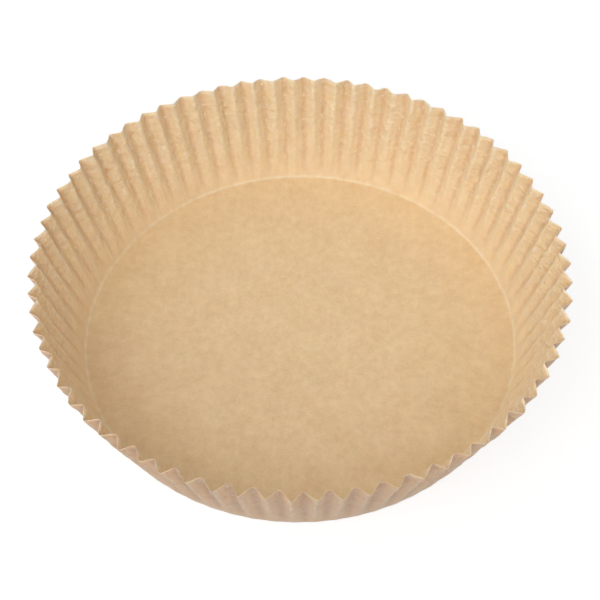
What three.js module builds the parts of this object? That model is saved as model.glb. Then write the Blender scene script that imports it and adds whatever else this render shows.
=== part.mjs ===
import * as THREE from "three";
import { mergeVertices } from "three/addons/utils/BufferGeometryUtils.js";

// A round baking liner pressed from one disc of greaseproof paper, with a flat base and a fluted wall.
// The origin is the centre of the base's underside, +Z is up and all sizes are in millimetres.

// Driving dimensions
const RIM_RADIUS = 100; // axis to the outward folds at the rim
const RIM_HEIGHT = 43.4; // underside of the base to the outward folds at the rim
const BASE_RADIUS = 84.3; // axis to the crease round the flat base
const FLUTES = 72;
const FLUTE_DEPTH = 3.3; // from the outward to the inward folds, at the rim
const FOLD_RADIUS = 0.5; // of each fold, at the rim
const PAPER_THICKNESS = 0.06;

// The flutes start at nothing on the crease and deepen by this power of the way up the wall.
const FLUTE_GROWTH = 0.65;

// How finely the paper is divided
const FOLD_FACETS = 2; // round each fold
const WALL_BANDS = 5; // up the wall, narrower towards the crease
const NUDGE = 0.1; // step for measuring which way the paper faces

// The wall leans out from the crease, and the paper is as long on every fold from crease to rim.
const WALL_LENGTH = Math.hypot(RIM_RADIUS - BASE_RADIUS, RIM_HEIGHT);
const MIDDLE_RIM_RADIUS = RIM_RADIUS - FLUTE_DEPTH / 2;
const WALL_SPREAD = (MIDDLE_RIM_RADIUS - BASE_RADIUS) / WALL_LENGTH;

// One flute in section, as stations from its outward fold. turn is in flutes round the liner, and swing is
// a share of the flute's depth, outwards from the middle of the wall.
function fluteStations() {
  const halfPitch = (Math.PI * MIDDLE_RIM_RADIUS) / FLUTES;
  const drop = FLUTE_DEPTH - 2 * FOLD_RADIUS;
  const lean =
    Math.atan2(drop, halfPitch) +
    Math.asin((2 * FOLD_RADIUS) / Math.hypot(drop, halfPitch));
  const stations = [];
  for (const side of [1, -1]) {
    const middle = side > 0 ? 0 : 0.5;
    for (let step = 0; step <= FOLD_FACETS; step++) {
      const angle = lean * ((2 * step) / FOLD_FACETS - 1);
      const sideways = FOLD_RADIUS * Math.sin(angle);
      const below = FOLD_RADIUS * (1 - Math.cos(angle));
      stations.push({
        turn: middle + sideways / (2 * halfPitch),
        swing: side * (0.5 - below / FLUTE_DEPTH),
      });
    }
  }
  return stations;
}

const STATIONS = fluteStations();
const COLUMNS = FLUTES * STATIONS.length;

// Distances from the centre of the flat disc, measured along the paper, at which it is divided.
function ringReaches() {
  const reaches = [0];
  for (let band = 0; band <= WALL_BANDS; band++)
    reaches.push(BASE_RADIUS + WALL_LENGTH * (band / WALL_BANDS) ** 2);
  return reaches;
}

// Where the paper's underside lies once it is pressed, for a reach from the centre and a column round it.
function pressedPoint(reach, column) {
  const flute = Math.floor(column / STATIONS.length);
  const { turn, swing } = STATIONS[column - flute * STATIONS.length];
  const climbed = Math.max(reach - BASE_RADIUS, 0);
  const depth = FLUTE_DEPTH * (climbed / WALL_LENGTH) ** FLUTE_GROWTH;
  const spread = Math.min(climbed * WALL_SPREAD + swing * depth, climbed);
  const radius = Math.min(reach, BASE_RADIUS) + spread;
  const angle = (2 * Math.PI * (flute + turn)) / FLUTES;
  return new THREE.Vector3(
    radius * Math.cos(angle),
    radius * Math.sin(angle),
    Math.sqrt(climbed ** 2 - spread ** 2),
  );
}

// The direction from the underside of the paper to its upper side.
function facing(reach, column) {
  if (reach < BASE_RADIUS) return new THREE.Vector3(0, 0, 1);
  const outwards = pressedPoint(reach + NUDGE, column).sub(
    pressedPoint(reach - NUDGE, column),
  );
  const around = pressedPoint(reach, column + 1).sub(
    pressedPoint(reach, column - 1),
  );
  return outwards.cross(around).normalize();
}

// The flat disc is divided by rings and columns, and each of its points is then pressed. Both sides of the
// paper share one set of triangles, so they stay parallel where a flute twists. A strip joins them at the rim.
function linerGeometry() {
  const reaches = ringReaches();
  const rings = reaches.length;
  const disc = new THREE.LatheGeometry(
    reaches.map((reach) => new THREE.Vector2(reach, 0)),
    COLUMNS,
  );
  const count = disc.getAttribute("position").count;
  const places = [];
  for (const above of [0, PAPER_THICKNESS])
    for (let index = 0; index < count; index++) {
      const reach = reaches[index % rings];
      const column = Math.floor(index / rings) % COLUMNS;
      const place = pressedPoint(reach, column);
      place.addScaledVector(facing(reach, column), above);
      places.push(place.x, place.y, place.z);
    }

  const faces = [];
  const corners = disc.index.array;
  for (let corner = 0; corner < corners.length; corner += 3) {
    const [a, b, c] = corners.slice(corner, corner + 3);
    faces.push(a, b, c);
    faces.push(c + count, b + count, a + count);
  }
  for (let column = 0; column < COLUMNS; column++) {
    const here = column * rings + rings - 1;
    const next = here + rings;
    faces.push(here, next, next + count);
    faces.push(here, next + count, here + count);
  }

  const geometry = new THREE.BufferGeometry();
  geometry.setAttribute("position", new THREE.Float32BufferAttribute(places, 3));
  geometry.setIndex(faces);
  const merged = mergeVertices(geometry);
  merged.computeVertexNormals();
  return merged;
}

const paper = new THREE.MeshStandardMaterial({
  color: 0xdfbb8c,
  roughness: 0.8,
  metalness: 0,
  flatShading: true,
});

const liner = new THREE.Mesh(linerGeometry(), paper);
liner.name = "liner";

const airFryerLiner = new THREE.Group();
airFryerLiner.add(liner);

export default airFryerLiner;
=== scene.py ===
import math

import bpy
import numpy as np
from mathutils import Matrix, Vector, noise


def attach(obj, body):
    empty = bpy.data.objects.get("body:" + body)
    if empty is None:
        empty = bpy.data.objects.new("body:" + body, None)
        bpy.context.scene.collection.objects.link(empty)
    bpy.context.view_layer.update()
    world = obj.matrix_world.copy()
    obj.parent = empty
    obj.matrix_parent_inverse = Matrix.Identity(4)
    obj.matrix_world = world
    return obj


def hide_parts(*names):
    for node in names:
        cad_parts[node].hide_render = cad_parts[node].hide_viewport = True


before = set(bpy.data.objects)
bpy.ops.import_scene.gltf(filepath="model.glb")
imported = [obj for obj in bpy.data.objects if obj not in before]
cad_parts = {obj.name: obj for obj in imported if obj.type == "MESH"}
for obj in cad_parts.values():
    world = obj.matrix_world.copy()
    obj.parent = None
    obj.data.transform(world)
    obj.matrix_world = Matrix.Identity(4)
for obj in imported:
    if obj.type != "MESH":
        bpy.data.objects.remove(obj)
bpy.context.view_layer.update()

# A fluted paper liner. All lengths are in metres.
MM = 0.001

# The camera of the photograph, in the liner's frame
LENS_MM = 77.0
SENSOR_MM = 36.0
CAMERA_DISTANCE = 505.25 * MM  # from the centre of the base
CAMERA_ELEVATION = math.radians(51.676)
CAMERA_AZIMUTH = math.radians(2.169)
CAMERA_ROLL = math.radians(1.074)
CAMERA_ASIDE = 0.35 * MM
CAMERA_ABOVE = 12.53 * MM

# The sheet, with its main sizes read from the solid
FLUTES = 72
PAPER_THICKNESS = 0.06 * MM
FLUTE_DEPTH = 3.3 * MM
FLUTE_GROWTH = 0.75  # power of the way up the wall by which the flutes deepen
LEFT_FLATNESS = 0.5  # added to that power on the left, where the wall is flatter low down
LEFT_FADE = 3  # power that keeps this flatness to the left
CREASE_BEND = 0.5 * MM  # half the width of the bend round the base
INWARD_SOFTNESS = 0.12  # how much rounder the inward folds are than the outward ones
BACK_SOFTNESS = 0.06  # how much rounder all folds are at the back
MOST_LEAN = 0.95  # furthest in or out that the wall leans, as a share of its length from the crease

# How much the folds differ from each other, as standard deviations at the rim
FOLD_SIDEWAYS = 0.25 * MM
FOLD_OUTWARDS = 0.17 * MM
LEG_BULGE = 0.16 * MM
FOLD_WANDER = 0.10 * MM
WANDER_WAVES = (1.1, 2.3, 3.9)  # waves of each wander from the crease to the rim
FOLD_SHARPNESS = 0.965  # 1 is a sharp fold
SHARPNESS_SPREAD = 0.012
SHARPNESS_RANGE = (0.93, 0.99)
SEED = 7

# Slow waves of the rim in the photograph: how many go round, their height, and the angle of one top
WAVES_OUTWARDS = ((2, 1.06 * MM, 116.8), (3, 0.29 * MM, -6.1))
WAVES_UPWARDS = ((2, 0.15 * MM, 2.2), (3, 0.43 * MM, 32.2))

# At the front the flutes stand closer together and further apart in turn.
CROWDING = 0.55 * MM
CROWDING_WAVES = 9
CROWDED_MIDDLE = math.radians(270)
CROWDED_HALF = math.radians(50)
CROWDED_FADE = math.radians(15)

# Crumpling of the wall
CRUMPLE = 0.42 * MM
CRUMPLE_SIZE = 6 * MM
CRUMPLE_DETAIL = (0.8, 2.0, 3)  # dimension, lacunarity and octaves of its noise
APART = Vector((31.7, 12.9, 5.3))  # far enough along the noise that the two crumples differ

# Powers of the way up the wall by which its unevenness grows
OUTWARD_GROWTH = 1.5
SIDEWAYS_GROWTH = 0.7
CRUMPLE_GROWTH = 0.5

# The base, which lifts a little off the floor
BASE_LIFT = 0.12 * MM
BASE_LIFT_SIZE = 28 * MM
BASE_LIFT_FADE = 12 * MM  # width of the base's edge over which the lift begins

# How finely the sheet is divided
FLUTE_COLUMNS = 16
COLUMNS = FLUTES * FLUTE_COLUMNS
FEWEST_COLUMNS = 9
WALL_ROWS = 38
ROW_CROWDING = 1.35  # power that makes the rows narrower towards the crease
BASE_RING_GAP = 2.5 * MM
FIRST_BASE_GAPS = (0.4 * MM, 1.1 * MM)  # from the crease to the first two rings of the base
NARROWEST = 0.7  # share of the gap between rings below which the columns are halved

# Colours of the paper
PAPER_LIGHT = (0.872, 0.68, 0.43, 1)
PAPER_DARK = (0.74, 0.533, 0.29, 1)
# painted shade in the grooves of the inside, orange like light bounced between the folds
PAPER_GROOVE_SHADE = (0.64, 0.35, 0.135, 1)
# painted shade in the grooves of the outside, greyer
PAPER_OUTER_GROOVE_SHADE = (0.58, 0.34, 0.19, 1)
# pale tone for painted light on the inside of the wall and on the ridges, which are also rubbed, and for
# the pale line at the crease
PAPER_PALE = (0.90, 0.82, 0.65, 1)
PAPER_OUTSIDE = (1.0, 0.90, 0.88, 1)  # the outside is darkened by this
# colour of the painted glints along the folds, and of the pale cut edge of the rim
PAPER_GLINT_AND_CUT_EDGE = (0.97, 0.90, 0.76, 1)

# Shares of those colours where they are strongest
GROOVE_SHARE = 0.75
RIDGE_SHARE = 0.25
# share of painted light that makes the whole inside of the wall paler
INSIDE_PAINTED_LIGHT_SHARE = 0.25
GLINT_SHARE = 0.6
EDGE_SHARE = 0.5
# share of the pale line at the crease, partly painted highlight and partly paper paled by the bend
CREASE_SHARE = 0.5

# The paper's patterns: size on the flat sheet in millimetres, detail and roughness
CLOUDS = (13, 3, 0.6)
BLOTS = (3.2, 3, 0.65)
GRAIN = (0.65, 3, 0.7)
DENTS = (3.2, 3, 0.6)
PATCHES = (2.0, 2, 0.5)
STREAKS = (1.9, 2, 0.6)
GLINTS = (1.3, 2, 0.6)

# By how much some of them are squeezed in each direction. Below 1 they are stretched.
GRAIN_SQUEEZE = (0.55, 1, 1)
STREAK_SQUEEZE = (1.5, 0.3, 1)
GLINT_SQUEEZE = (1.1, 0.6, 1)
FOLD_BEND = 1.8  # how far the dents push the colour of the folds to and fro

# What the patterns add to the pulp's colour
CLOUD_SHARE = 0.30
BLOT_SHARE = 0.33
GRAIN_SHARE = 0.37

# Ranges from where a look sets in to where it is full. Two more numbers stand for none and full.
PULP_RANGE = (0.36, 0.64)
SIDE_RANGE = (-0.2, 0.2)
GROOVE_STARTS = (0.0, 0.5)  # outside and inside, where 1 is the middle of the groove
GROOVE_UP_WALL = (0.0, 0.25)
GROOVE_PATCHES = (0.3, 0.7, 0.55, 1.0)
RIDGE_FOLDS = (-0.7, -1.0)
RIDGE_PATCHES = (0.35, 0.65, 0.5, 1.0)
PALE_RIDGE_AND_GLINT_UP_WALL = (0.1, 0.5)
GLINT_RANGE = (0.58, 0.70)
GLINT_FOLDS = (0.4, 0.9)
CREASE_BLOTS = (0.35, 0.6, 0.35, 1.0)
BUMPS_UP_WALL = (0, 0.6, 0.15, 1)
GRAIN_ROUGHNESS = (0.3, 0.7, 0.38, 0.52)

# Places of such ranges along the paper, in millimetres
WALL_START = (-0.4, 1.5)  # past the crease
CREASE_MIDDLE = 0.2  # past the crease
CREASE_FADE = (0.3, 1.3)  # to either side of that middle
EDGE_FADE = (0.5, 0.1)  # before the rim

# Heights of the paper's bumps, in millimetres
DENT_HEIGHT = 1.8
STREAK_HEIGHT = 0.9
BLOT_HEIGHT = 0.12
GRAIN_HEIGHT = 0.04
BUMP_STRENGTH = 0.8

# Sheen of the paper and the light inside it
PAPER_SPECULAR = 0.5
SCATTER_RADIUS = (1.0, 0.8, 0.5)
SCATTER_SCALE = 0.055 * MM

# The floor and the light
FLOOR_HALF = 2.0
FLOOR_DROP = 0.02 * MM  # keeps the floor clear of the base
FLOOR_WHITE = 0.35
FLOOR_ROUGHNESS = 0.9
FLOOR_SPECULAR = 0.1
FLOOR_GLOW = 0.74  # added where the floor is seen, so that it is white
ROOM_LIGHT = 0.485
HORIZON_SHARE = 0.4
FULL_LIGHT_HEIGHT = 0.5  # sine of the elevation from which the room's light is full
SOFTBOX_SIDE = 1.6
FRONT_PLACE = (0.0, -1.1, 1.0)
FRONT_POWER = 12.5
LEFT_PLACE = (-1.1, -0.3, 1.0)
LEFT_POWER = 8.2


def read_solid():
    """Base radius, rim radius and rim height of the solid, on its outward folds."""
    places = np.array([v.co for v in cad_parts["liner"].data.vertices])
    radii = np.hypot(places[:, 0], places[:, 1])
    on_floor = places[:, 2] < PAPER_THICKNESS / 2
    rim = radii.argmax()
    return radii[on_floor].max(), radii[rim], places[rim, 2]


BASE_RADIUS, RIM_RADIUS, RIM_HEIGHT = read_solid()
WALL_LENGTH = math.hypot(RIM_RADIUS - BASE_RADIUS, RIM_HEIGHT)
MIDDLE_RIM_RADIUS = RIM_RADIUS - FLUTE_DEPTH / 2
WALL_SPREAD = (MIDDLE_RIM_RADIUS - BASE_RADIUS) / WALL_LENGTH
BLANK_RADIUS = BASE_RADIUS + WALL_LENGTH


class Folds:
    """Small differences between the folds, two to a flute, each read at any place round the liner."""

    def __init__(self, seed):
        random = np.random.default_rng(seed)
        count = 2 * FLUTES
        self.sideways = random.normal(0, FOLD_SIDEWAYS, count)
        self.outwards = random.normal(0, FOLD_OUTWARDS, count)
        self.bulge = random.normal(0, LEG_BULGE, count)
        self.wander = random.normal(0, FOLD_WANDER, (len(WANDER_WAVES), count))
        self.phase = random.uniform(0, 2 * math.pi, (len(WANDER_WAVES), count))
        self.sharpness = np.clip(random.normal(FOLD_SHARPNESS, SHARPNESS_SPREAD, count), *SHARPNESS_RANGE)

    @staticmethod
    def between(values, turn):
        """Values of the folds, blended in a straight line from fold to fold."""
        place = (turn * 2) % (2 * FLUTES)
        first = np.floor(place).astype(int) % (2 * FLUTES)
        share = place - np.floor(place)
        return values[first] * (1 - share) + values[(first + 1) % (2 * FLUTES)] * share

    def drift(self, turn, climbed):
        """Sideways wander of the folds on their way up the wall."""
        total = self.between(self.sideways, turn)
        for waves, amplitude, phase in zip(WANDER_WAVES, self.wander, self.phase):
            ahead = 2 * math.pi * waves * climbed / WALL_LENGTH
            total = total + self.between(amplitude * np.sin(phase), turn) * np.cos(ahead)
            total = total + self.between(amplitude * np.cos(phase), turn) * np.sin(ahead)
        return total


FOLDS = Folds(SEED)


def slow_wave(waves, angle):
    """Sum of waves that go slowly round the rim."""
    return sum(height * np.cos(count * (angle - math.radians(top))) for count, height, top in waves)


def zigzag(turn, sharpness):
    """A wave from 1 on outward folds to -1 on inward ones, straight between them and rounded on both."""
    wave = np.cos(2 * math.pi * turn)
    keen = np.where(wave > 0, sharpness, sharpness - INWARD_SOFTNESS)
    return np.arcsin(keen * wave) / np.arcsin(keen)


def crowding(angle):
    """How far the flutes at the front are shifted round the liner."""
    apart = np.abs((angle - CROWDED_MIDDLE + math.pi) % (2 * math.pi) - math.pi)
    inside = np.clip((CROWDED_HALF - apart) / CROWDED_FADE, 0, 1)
    return -CROWDING * np.cos(CROWDING_WAVES * angle) * inside


def pressed(reach, turn):
    """Where the paper lies, for a reach from the centre along it and a turn round it in flutes."""
    past = reach - BASE_RADIUS
    climbed = (np.hypot(past, CREASE_BEND) + past) / 2
    way_up = climbed / WALL_LENGTH
    angle = 2 * math.pi * turn / FLUTES

    # The flutes, with folds that are rounder at the back and deepen later on the left
    softer = BACK_SOFTNESS * np.clip(np.sin(angle), 0, 1)
    swing = zigzag(turn, Folds.between(FOLDS.sharpness, turn) - softer) / 2
    growth = FLUTE_GROWTH + LEFT_FLATNESS * np.clip(-np.cos(angle), 0, 1) ** LEFT_FADE
    depth = FLUTE_DEPTH * way_up**growth
    spread = climbed * WALL_SPREAD + swing * depth

    # Their unevenness, and the slow waves of the rim
    leg_middle = np.sin(2 * math.pi * turn)
    leg = np.floor(turn * 2).astype(int) % (2 * FLUTES)
    spread += Folds.between(FOLDS.outwards, turn) * way_up
    spread += FOLDS.bulge[leg] * np.abs(leg_middle) * way_up
    spread += slow_wave(WAVES_OUTWARDS, angle) * way_up**OUTWARD_GROWTH
    spread = np.clip(spread, -MOST_LEAN * climbed, MOST_LEAN * climbed)

    radius = BASE_RADIUS + past - climbed + spread
    height = np.sqrt(climbed**2 - spread**2) + slow_wave(WAVES_UPWARDS, angle) * way_up
    sideways = (FOLDS.drift(turn, climbed) + crowding(angle)) * way_up**SIDEWAYS_GROWTH
    angle = angle + sideways / np.maximum(radius, BASE_RADIUS / 2)
    return np.stack([radius * np.cos(angle), radius * np.sin(angle), height], axis=-1)


def base_rings():
    """Reaches of the rings of the flat base, from the crease inwards, each with its number of columns."""
    first_gap, second_gap = FIRST_BASE_GAPS
    rings = [
        (BASE_RADIUS, COLUMNS),
        (BASE_RADIUS - first_gap, COLUMNS // 2),
        (BASE_RADIUS - second_gap, COLUMNS // 4),
    ]
    reach = BASE_RADIUS - BASE_RING_GAP
    columns = COLUMNS // 4
    while reach > BASE_RING_GAP:
        width = 2 * math.pi * reach / columns
        if columns > FEWEST_COLUMNS and width < NARROWEST * BASE_RING_GAP:
            columns //= 2
        rings.append((reach, columns))
        reach -= BASE_RING_GAP
    return rings


def join_rings(outer, inner):
    """Faces between two rings of vertex numbers. The inner ring has as many or half as many."""
    count = len(inner)
    ahead = np.roll(inner, -1)
    if len(outer) == count:
        next_outer = np.roll(outer, -1)
        return [
            *zip(inner, outer, next_outer),
            *zip(inner, next_outer, ahead),
        ]
    first, second, third = outer[0::2], outer[1::2], np.roll(outer[0::2], -1)
    return [
        *zip(inner, first, second),
        *zip(inner, second, ahead),
        *zip(ahead, second, third),
    ]


def one_side():
    """Points, flat places and triangles of one side of the sheet, and the vertex numbers along the rim."""
    way_up = (np.arange(WALL_ROWS + 1) / WALL_ROWS) ** ROW_CROWDING
    rings = [(BASE_RADIUS + WALL_LENGTH * share, COLUMNS) for share in way_up[:0:-1]]
    rings += base_rings()

    reaches, turns, numbers, start = [], [], [], 0
    for reach, columns in rings:
        reaches.append(np.full(columns, reach))
        turns.append(np.arange(columns) * (FLUTES / columns))
        numbers.append(np.arange(start, start + columns))
        start += columns
    faces = []
    for outer, inner in zip(numbers[:-1], numbers[1:]):
        faces += join_rings(outer, inner)
    centre = start
    last = numbers[-1]
    faces += [(centre, a, b) for a, b in zip(last, np.roll(last, -1))]

    reach = np.append(np.concatenate(reaches), 0)
    turn = np.append(np.concatenate(turns), 0)
    return pressed(reach, turn), reach, turn, np.array(faces), numbers[0]


def crumple(points, apart):
    """Noise from about -1 to 1 at each point, read at a place this far along it."""
    return np.array([noise.fractal(Vector(p) / CRUMPLE_SIZE + apart, *CRUMPLE_DETAIL) for p in points])


def uneven(points, reach, turn):
    """The points with the base lifted a little off the floor and the wall crumpled, most near the rim."""
    moved = points.copy()
    inside = np.clip((BASE_RADIUS - reach) / BASE_LIFT_FADE, 0, 1)
    lift = np.array([noise.noise(Vector(p) / BASE_LIFT_SIZE) for p in points])
    moved[:, 2] += BASE_LIFT * inside * (1 + lift)

    up_wall = np.clip((reach - BASE_RADIUS) / WALL_LENGTH, 0, 1)
    angle = 2 * math.pi * turn / FLUTES
    outwards = np.stack([np.cos(angle), np.sin(angle)], axis=-1)
    sideways = np.stack([-np.sin(angle), np.cos(angle)], axis=-1)
    for direction, apart in ((outwards, Vector()), (sideways, APART)):
        distance = CRUMPLE * crumple(points, apart) * up_wall**CRUMPLE_GROWTH
        moved[:, :2] += distance[:, None] * direction
    return moved


def facing(points, faces):
    """The direction of the upper side at each point."""
    a, b, c = (points[faces[:, corner]] for corner in range(3))
    across = np.cross(b - a, c - a)
    total = np.zeros_like(points)
    for corner in range(3):
        np.add.at(total, faces[:, corner], across)
    return total / np.linalg.norm(total, axis=1, keepdims=True)


def build_liner():
    """One closed sheet with both sides and its cut edge, marked with its sides and its flat places."""
    points, reach, turn, faces, rim = one_side()
    points = uneven(points, reach, turn)
    count = len(points)
    upper = points + facing(points, faces) * PAPER_THICKNESS
    ahead = np.roll(rim, -1)
    edge = [
        *zip(rim, ahead, ahead + count),
        *zip(rim, ahead + count, rim + count),
    ]
    corners = np.concatenate([faces[:, ::-1], faces + count, np.array(edge)])

    mesh = bpy.data.meshes.new("paper_liner")
    mesh.from_pydata(np.concatenate([points, upper]).tolist(), [], corners.tolist())
    mesh.validate()
    mesh.polygons.foreach_set("use_smooth", [True] * len(mesh.polygons))

    side = mesh.attributes.new("side", "FLOAT", "POINT")
    side.data.foreach_set("value", np.repeat([-1.0, 1.0], count))

    angle = 2 * math.pi * turn / FLUTES
    flat = np.stack([reach * np.cos(angle), reach * np.sin(angle)], axis=-1)
    flat = np.concatenate([flat, flat]) / (2 * BLANK_RADIUS) + 0.5
    order = np.zeros(len(mesh.loops), int)
    mesh.loops.foreach_get("vertex_index", order)
    mesh.uv_layers.new(name="sheet").data.foreach_set("uv", flat[order].ravel())

    liner = bpy.data.objects.new("paper_liner", mesh)
    bpy.context.scene.collection.objects.link(liner)
    return liner


def new_material(name):
    material = bpy.data.materials.new(name)
    material.use_nodes = True
    return material


class Nodes:
    """Short forms for the nodes of one material or of the world."""

    def __init__(self, owner):
        self.tree = owner.node_tree
        self.shader = self.tree.nodes.get("Principled BSDF")

    def link(self, source, target):
        if isinstance(source, bpy.types.NodeSocket):
            self.tree.links.new(source, target)
        else:
            target.default_value = source

    def math(self, operation, *values):
        node = self.tree.nodes.new("ShaderNodeMath")
        node.operation = operation
        for value, socket in zip(values, node.inputs):
            self.link(value, socket)
        return node.outputs[0]

    def vector(self, operation, first, second):
        node = self.tree.nodes.new("ShaderNodeVectorMath")
        node.operation = operation
        self.link(first, node.inputs[0])
        self.link(second, node.inputs["Scale" if operation == "SCALE" else 1])
        return node.outputs["Value" if operation == "LENGTH" else "Vector"]

    def noise(self, place, size, detail, roughness):
        """Noise from 0 to 1 about 0.5, with blots of about this size."""
        node = self.tree.nodes.new("ShaderNodeTexNoise")
        self.link(self.vector("SCALE", place, 1 / size), node.inputs["Vector"])
        node.inputs["Scale"].default_value = 1
        node.inputs["Detail"].default_value = detail
        node.inputs["Roughness"].default_value = roughness
        return node.outputs["Fac"]

    def spread(self, value, low, high, to_low=0.0, to_high=1.0):
        """The value's place between low and high, held to them, as a place between to_low and to_high."""
        node = self.tree.nodes.new("ShaderNodeMapRange")
        for number, socket in zip((value, low, high, to_low, to_high), node.inputs):
            self.link(number, socket)
        return node.outputs["Result"]

    def colour(self, blend, share, first, second):
        node = self.tree.nodes.new("ShaderNodeMix")
        node.data_type = "RGBA"
        node.blend_type = blend
        self.link(share, node.inputs[0])
        self.link(first, node.inputs[6])
        self.link(second, node.inputs[7])
        return node.outputs[2]

    def place(self, x, y):
        node = self.tree.nodes.new("ShaderNodeCombineXYZ")
        self.link(x, node.inputs[0])
        self.link(y, node.inputs[1])
        return node.outputs[0]


class Sheet:
    """Places on the flat sheet, in millimetres, and the noises that the paper's colour and bumps share."""

    def __init__(self, n):
        uv_map = n.tree.nodes.new("ShaderNodeUVMap")
        uv_map.uv_map = "sheet"
        centred = n.vector("SUBTRACT", uv_map.outputs["UV"], (0.5, 0.5, 0))
        self.flat = n.vector("SCALE", centred, 2 * BLANK_RADIUS / MM)
        parts = n.tree.nodes.new("ShaderNodeSeparateXYZ")
        n.link(self.flat, parts.inputs[0])
        self.reach = n.vector("LENGTH", self.flat, (0, 0, 0))
        angle = n.math("ARCTAN2", parts.outputs[1], parts.outputs[0])
        turn = n.math("MULTIPLY", angle, FLUTES)
        side = n.tree.nodes.new("ShaderNodeAttribute")
        side.attribute_name = "side"  # 1 on the inside of the liner and -1 on its outside
        self.inside = n.spread(side.outputs["Fac"], *SIDE_RANGE)
        self.base = BASE_RADIUS / MM
        self.up_wall = n.spread(self.reach, self.base, self.base + WALL_LENGTH / MM)
        self.on_wall = n.spread(self.reach, *(self.base + past for past in WALL_START))

        self.blots = n.noise(self.flat, *BLOTS)
        self.grain = n.noise(n.vector("MULTIPLY", self.flat, GRAIN_SQUEEZE), *GRAIN)
        self.wall = n.place(turn, self.reach)
        self.dents = n.noise(self.wall, *DENTS)

        # The folds run from 1 in grooves to -1 on ridges, and the dents push them a little to and fro.
        bent_turn = n.math("MULTIPLY_ADD", self.dents, FOLD_BEND, n.math("SUBTRACT", turn, FOLD_BEND / 2))
        self.folded = n.math("MULTIPLY", n.math("COSINE", bent_turn), side.outputs["Fac"])


def pulp_colour(n, sheet):
    """Clouds and blots where the pulp lies thick and thin, and its fibres."""
    clouds = n.noise(sheet.flat, *CLOUDS)
    pulp = n.math("MULTIPLY", sheet.grain, GRAIN_SHARE)
    pulp = n.math("MULTIPLY_ADD", sheet.blots, BLOT_SHARE, pulp)
    pulp = n.math("MULTIPLY_ADD", clouds, CLOUD_SHARE, pulp)
    colour = n.colour("MIX", n.spread(pulp, *PULP_RANGE), PAPER_DARK, PAPER_LIGHT)
    return n.colour("MULTIPLY", n.math("SUBTRACT", 1.0, sheet.inside), colour, PAPER_OUTSIDE)


def fold_colour(n, sheet, colour):
    """On each side the grooves are darkened with painted shade and the ridges made paler, partly painted
    light and partly rubbing. The inside of the wall is made paler with painted light, and painted glints
    lie along the folds.
    """
    # The painted shade of the grooves is narrower on the inside, and greyer on the outside.
    patchy = n.noise(sheet.wall, *PATCHES)
    groove_start = n.spread(sheet.inside, 0.0, 1.0, *GROOVE_STARTS)
    groove = n.spread(sheet.folded, groove_start, 1.0)
    groove = n.math("MULTIPLY", groove, n.spread(sheet.up_wall, *GROOVE_UP_WALL))
    groove = n.math("MULTIPLY", groove, n.spread(patchy, *GROOVE_PATCHES))
    groove_shade_colour = n.colour("MIX", sheet.inside, PAPER_OUTER_GROOVE_SHADE, PAPER_GROOVE_SHADE)
    colour = n.colour("MIX", n.math("MULTIPLY", groove, GROOVE_SHARE), colour, groove_shade_colour)

    # The ridges are paler, partly painted light and partly rubbed, and the inside of the wall is made paler
    # with painted light.
    up_wall = n.spread(sheet.up_wall, *PALE_RIDGE_AND_GLINT_UP_WALL)
    ridge = n.math("MULTIPLY", n.spread(sheet.folded, *RIDGE_FOLDS), up_wall)
    ridge = n.math("MULTIPLY", ridge, n.spread(patchy, *RIDGE_PATCHES))
    painted_light_and_rubbing = n.math("MULTIPLY", n.math("MULTIPLY", sheet.on_wall, sheet.inside), INSIDE_PAINTED_LIGHT_SHARE)
    painted_light_and_rubbing = n.math("MULTIPLY_ADD", ridge, RIDGE_SHARE, painted_light_and_rubbing)
    colour = n.colour("MIX", painted_light_and_rubbing, colour, PAPER_PALE)

    # Painted glints along the folds.
    glints = n.noise(n.vector("MULTIPLY", sheet.wall, GLINT_SQUEEZE), *GLINTS)
    glints = n.math("MULTIPLY", n.spread(glints, *GLINT_RANGE), up_wall)
    glints = n.math("MULTIPLY", glints, n.spread(n.math("ABSOLUTE", sheet.folded), *GLINT_FOLDS))
    return n.colour("MIX", n.math("MULTIPLY", glints, GLINT_SHARE), colour, PAPER_GLINT_AND_CUT_EDGE)


def edge_colour(n, sheet, colour):
    """The cut edge of the rim is pale, and the bend round the base gets a pale line that is partly a
    painted highlight and partly paper paled by the bend.
    """
    rim = BLANK_RADIUS / MM
    edge = n.spread(sheet.reach, *(rim - before for before in EDGE_FADE))
    colour = n.colour("MIX", n.math("MULTIPLY", edge, EDGE_SHARE), colour, PAPER_GLINT_AND_CUT_EDGE)
    # Pale line round the base: painted highlight on the bend, with the paper paled by bending.
    off_crease = n.math("ABSOLUTE", n.math("SUBTRACT", sheet.reach, sheet.base + CREASE_MIDDLE))
    crease = n.spread(off_crease, *CREASE_FADE, 1.0, 0.0)
    crease = n.math("MULTIPLY", crease, n.spread(sheet.blots, *CREASE_BLOTS))
    return n.colour("MIX", n.math("MULTIPLY", crease, CREASE_SHARE), colour, PAPER_PALE)


def paper_heights(n, sheet):
    """Heights of the wall's dents and streaks and of the paper's fine tooth, in millimetres."""
    streaks = n.noise(n.vector("MULTIPLY", sheet.wall, STREAK_SQUEEZE), *STREAKS)
    heights = n.math("MULTIPLY", streaks, STREAK_HEIGHT)
    heights = n.math("MULTIPLY_ADD", sheet.dents, DENT_HEIGHT, heights)
    share = n.math("MULTIPLY", sheet.on_wall, n.spread(sheet.up_wall, *BUMPS_UP_WALL))
    heights = n.math("MULTIPLY", heights, share)
    heights = n.math("MULTIPLY_ADD", sheet.blots, BLOT_HEIGHT, heights)
    return n.math("MULTIPLY_ADD", sheet.grain, GRAIN_HEIGHT, heights)


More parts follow.
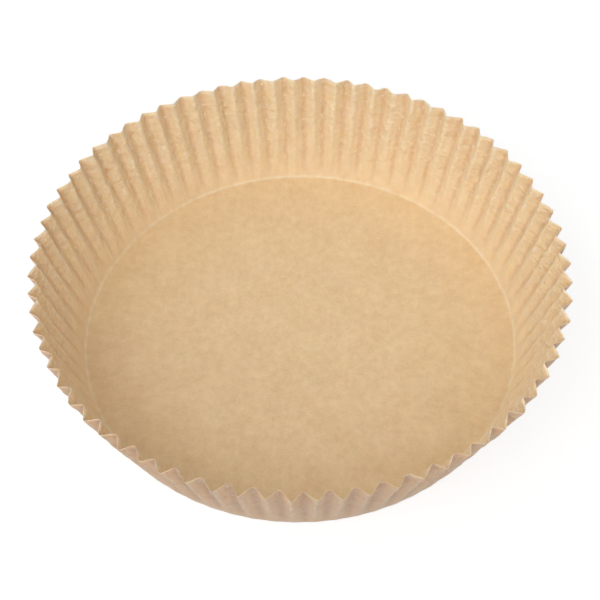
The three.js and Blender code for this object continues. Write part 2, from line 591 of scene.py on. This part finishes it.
def paper_material():
    """Unbleached greaseproof paper. Patterns follow the flat sheet, so they bend with its folds."""
    material = new_material("greaseproof_paper")
    n = Nodes(material)
    sheet = Sheet(n)
    colour = pulp_colour(n, sheet)
    colour = fold_colour(n, sheet, colour)
    colour = edge_colour(n, sheet, colour)
    n.link(colour, n.shader.inputs["Base Color"])
    n.link(n.spread(sheet.grain, *GRAIN_ROUGHNESS), n.shader.inputs["Roughness"])
    n.shader.inputs["Specular IOR Level"].default_value = PAPER_SPECULAR

    bump = n.tree.nodes.new("ShaderNodeBump")
    bump.inputs["Distance"].default_value = MM
    bump.inputs["Strength"].default_value = BUMP_STRENGTH
    n.link(paper_heights(n, sheet), bump.inputs["Height"])
    n.link(bump.outputs[0], n.shader.inputs["Normal"])

    # Light scatters inside the thin sheet and some of it comes through.
    n.shader.inputs["Subsurface Weight"].default_value = 1.0
    n.shader.inputs["Subsurface Radius"].default_value = SCATTER_RADIUS
    n.shader.inputs["Subsurface Scale"].default_value = SCATTER_SCALE
    return material


def add_camera():
    sine, cosine = math.sin(CAMERA_ELEVATION), math.cos(CAMERA_ELEVATION)
    right = Vector((1, 0, 0))
    up = Vector((0, sine, cosine))
    back = Vector((0, -cosine, sine))
    place = CAMERA_ASIDE * right + CAMERA_ABOVE * up + CAMERA_DISTANCE * back
    across = math.cos(CAMERA_ROLL) * right - math.sin(CAMERA_ROLL) * up
    upwards = math.sin(CAMERA_ROLL) * right + math.cos(CAMERA_ROLL) * up
    turned = Matrix((across, upwards, back)).transposed().to_4x4()
    data = bpy.data.cameras.new("camera")
    data.lens = LENS_MM
    data.sensor_width = SENSOR_MM
    data.clip_start = 10 * MM
    camera = bpy.data.objects.new("camera", data)
    camera.matrix_world = (
        Matrix.Rotation(CAMERA_AZIMUTH, 4, "Z") @ Matrix.Translation(place) @ turned
    )
    bpy.context.scene.collection.objects.link(camera)
    bpy.context.scene.camera = camera


def seen_directly(n):
    """1 where the camera looks, straight or by way of a mirror or glass, and 0 for the light that falls."""
    path = n.tree.nodes.new("ShaderNodeLightPath")
    seen = n.math("MAXIMUM", path.outputs["Is Camera Ray"], path.outputs["Is Glossy Ray"])
    return n.math("MAXIMUM", seen, path.outputs["Is Transmission Ray"])


def add_floor():
    """A white floor that shows white to the camera and in reflections, and keeps the liner's shadow."""
    mesh = bpy.data.meshes.new("floor")
    turns = ((-1, -1), (1, -1), (1, 1), (-1, 1))
    corners = [(x * FLOOR_HALF, y * FLOOR_HALF, 0) for x, y in turns]
    mesh.from_pydata(corners, [], [(0, 1, 2, 3)])
    floor = bpy.data.objects.new("floor", mesh)
    floor.location.z = -FLOOR_DROP
    bpy.context.scene.collection.objects.link(floor)
    material = new_material("white_floor")
    n = Nodes(material)
    n.shader.inputs["Base Color"].default_value = (FLOOR_WHITE, FLOOR_WHITE, FLOOR_WHITE, 1)
    n.shader.inputs["Roughness"].default_value = FLOOR_ROUGHNESS
    n.shader.inputs["Specular IOR Level"].default_value = FLOOR_SPECULAR
    n.shader.inputs["Emission Color"].default_value = (1, 1, 1, 1)
    n.link(n.math("MULTIPLY", seen_directly(n), FLOOR_GLOW), n.shader.inputs["Emission Strength"])
    mesh.materials.append(material)


def add_room():
    """Even light from all round, weaker near the horizon, and white where it is seen."""
    world = bpy.data.worlds.new("studio")
    world.use_nodes = True
    bpy.context.scene.world = world
    n = Nodes(world)
    background = world.node_tree.nodes["Background"]
    place = n.tree.nodes.new("ShaderNodeTexCoord")
    parts = n.tree.nodes.new("ShaderNodeSeparateXYZ")
    n.link(place.outputs["Generated"], parts.inputs[0])
    light = n.spread(parts.outputs[2], 0.0, FULL_LIGHT_HEIGHT, ROOM_LIGHT * HORIZON_SHARE, ROOM_LIGHT)
    seen = seen_directly(n)
    strength = n.math("ADD", seen, n.math("MULTIPLY", light, n.math("SUBTRACT", 1.0, seen)))
    n.link(strength, background.inputs["Strength"])
    background.inputs["Color"].default_value = (1, 1, 1, 1)


def add_softbox(name, place, power):
    """A large square lamp that faces the liner."""
    data = bpy.data.lights.new(name, "AREA")
    data.shape = "SQUARE"
    data.size = SOFTBOX_SIDE
    data.energy = power
    softbox = bpy.data.objects.new(name, data)
    softbox.location = place
    softbox.rotation_euler = (-softbox.location).to_track_quat("-Z", "Y").to_euler()
    bpy.context.scene.collection.objects.link(softbox)


add_camera()
add_floor()
add_room()
add_softbox("softbox_front", FRONT_PLACE, FRONT_POWER)
add_softbox("softbox_left", LEFT_PLACE, LEFT_POWER)
liner = build_liner()
liner.data.materials.append(paper_material())
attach(liner, "root")
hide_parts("liner")

bpy.context.scene.view_settings.view_transform = "Standard"
